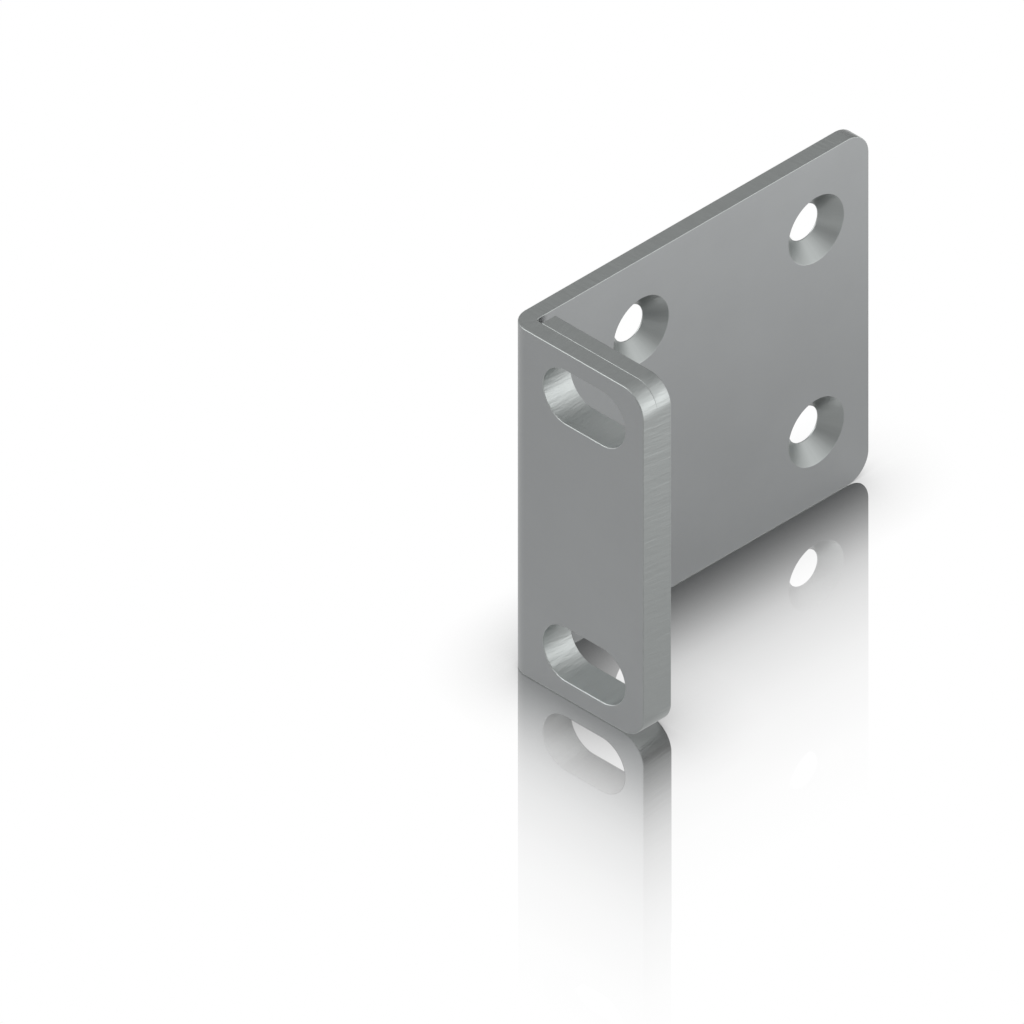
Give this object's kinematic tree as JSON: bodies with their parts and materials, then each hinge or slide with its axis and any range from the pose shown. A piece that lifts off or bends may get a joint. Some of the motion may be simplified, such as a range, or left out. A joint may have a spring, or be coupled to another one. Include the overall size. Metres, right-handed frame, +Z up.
{
  "type": "rack mount ear bracket",
  "caption": "Folded L-shaped sheet steel bracket with a doubled slotted ear for a rack rail and a side plate with countersunk holes for a device one rack unit high.",
  "frame": {"origin": "middle of the bounding box at the base, on which the bracket stands", "axes": "+X along the ear, away from the device; +Y from the ear's front face to the rear edge of the side plate; +Z up"},
  "size_m": [0.0194, 0.0496, 0.0427],
  "materials": {
    "satin_plated_steel": "satin nickel plating over sheet steel"
  },
  "bodies": {
    "root": {"folded_bracket": "satin_plated_steel", "ear_doubler_plate": "satin_plated_steel"}
  },
  "joints": []
}
